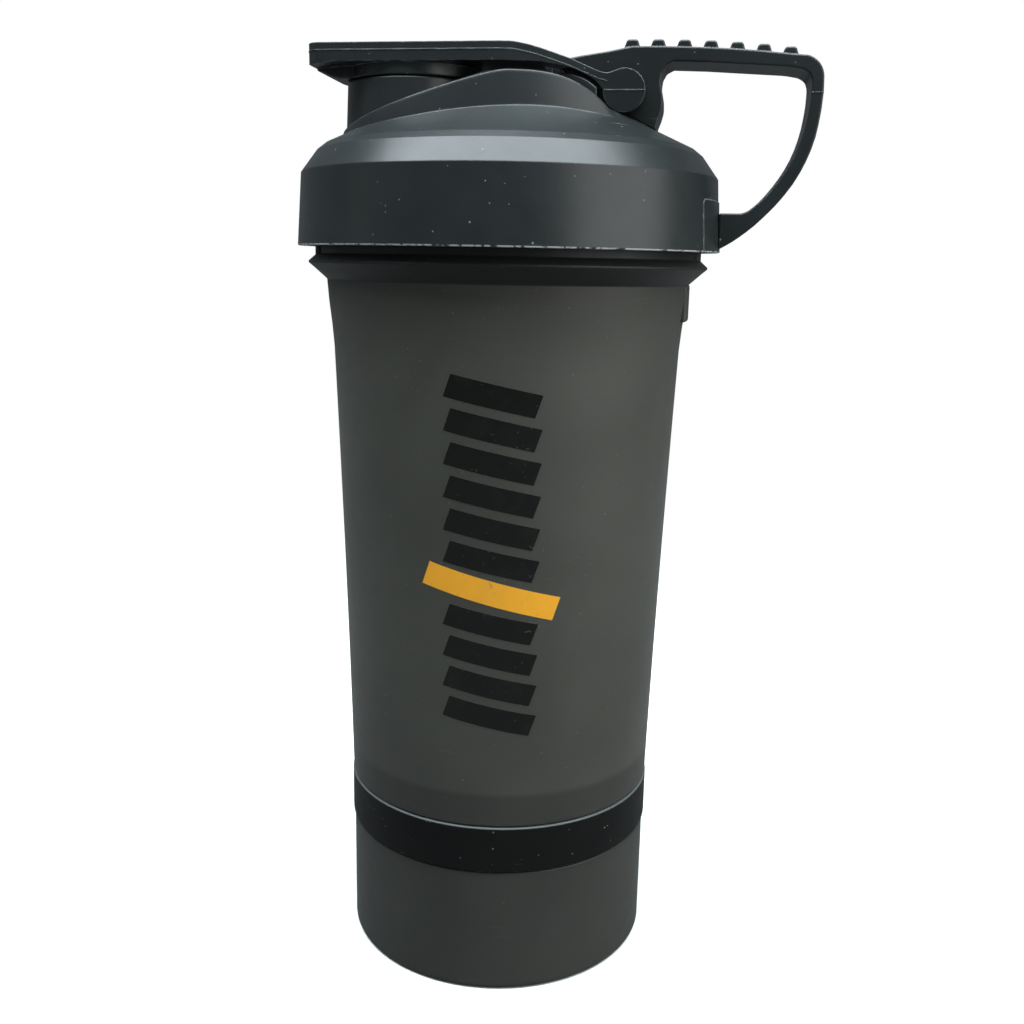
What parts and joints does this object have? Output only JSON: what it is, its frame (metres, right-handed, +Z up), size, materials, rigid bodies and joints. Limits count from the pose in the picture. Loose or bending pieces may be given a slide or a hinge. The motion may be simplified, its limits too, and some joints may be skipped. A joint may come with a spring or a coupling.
{
  "type": "shaker bottle",
  "caption": "Tall tapered shaker cup with a screw lid, flip cap over a round spout, ridged carry loop and a screw-on storage jar underneath.",
  "frame": {"origin": "on the bottle's axis, in the plane that the jar stands on", "axes": "+Z up along the bottle's axis, +X towards the carry loop, spout on the -X side"},
  "size_m": [0.1146, 0.095, 0.2102],
  "materials": {
    "smoke_plastic": "smoky grey translucent polypropylene, satin",
    "lid_plastic": "very dark slate polypropylene, satin with worn edges",
    "black_plastic": "black polypropylene, satin",
    "seal_silicone": "grey silicone, soft matte"
  },
  "bodies": {
    "jar": {"storage_jar": "smoke_plastic"},
    "jar_seal": {"storage_seal": "seal_silicone"},
    "cup_body": {"cup": "smoke_plastic", "connector_collar": "black_plastic", "mixing_grid": "black_plastic"},
    "rim_seal": {"lid_seal": "seal_silicone"},
    "lid_body": {"lid_shell": "lid_plastic", "carry_loop": "lid_plastic"},
    "cap_body": {"flip_cap": "lid_plastic", "spout_plug": "seal_silicone"}
  },
  "joints": [
    {"name": "jar_unscrew_rise", "type": "slide", "parent": "jar", "child": "jar_seal", "axis": [0, 0, 1], "range_m": [0, 0.012]},
    {"name": "jar_unscrew_turn", "type": "hinge", "parent": "jar_seal", "child": "cup_body", "pos_m": [0, 0, 0.035], "axis": [0, 0, 1], "range_deg": [0, 720]},
    {"name": "lid_unscrew_rise", "type": "slide", "parent": "cup_body", "child": "rim_seal", "axis": [0, 0, 1], "range_m": [0, 0.018]},
    {"name": "lid_unscrew_turn", "type": "hinge", "parent": "rim_seal", "child": "lid_body", "pos_m": [0, 0, 0.175], "axis": [0, 0, 1], "range_deg": [0, 720]},
    {"name": "flip_cap_hinge", "type": "hinge", "parent": "lid_body", "child": "cap_body", "pos_m": [0.0257, 0, 0.1993], "axis": [0, 1, 0], "range_deg": [0, 112]}
  ],
  "couplings": [
    {"joint": "jar_unscrew_rise", "follows": "jar_unscrew_turn", "m_per_rad": 0.00095493},
    {"joint": "lid_unscrew_rise", "follows": "lid_unscrew_turn", "m_per_rad": 0.0014324}
  ]
}
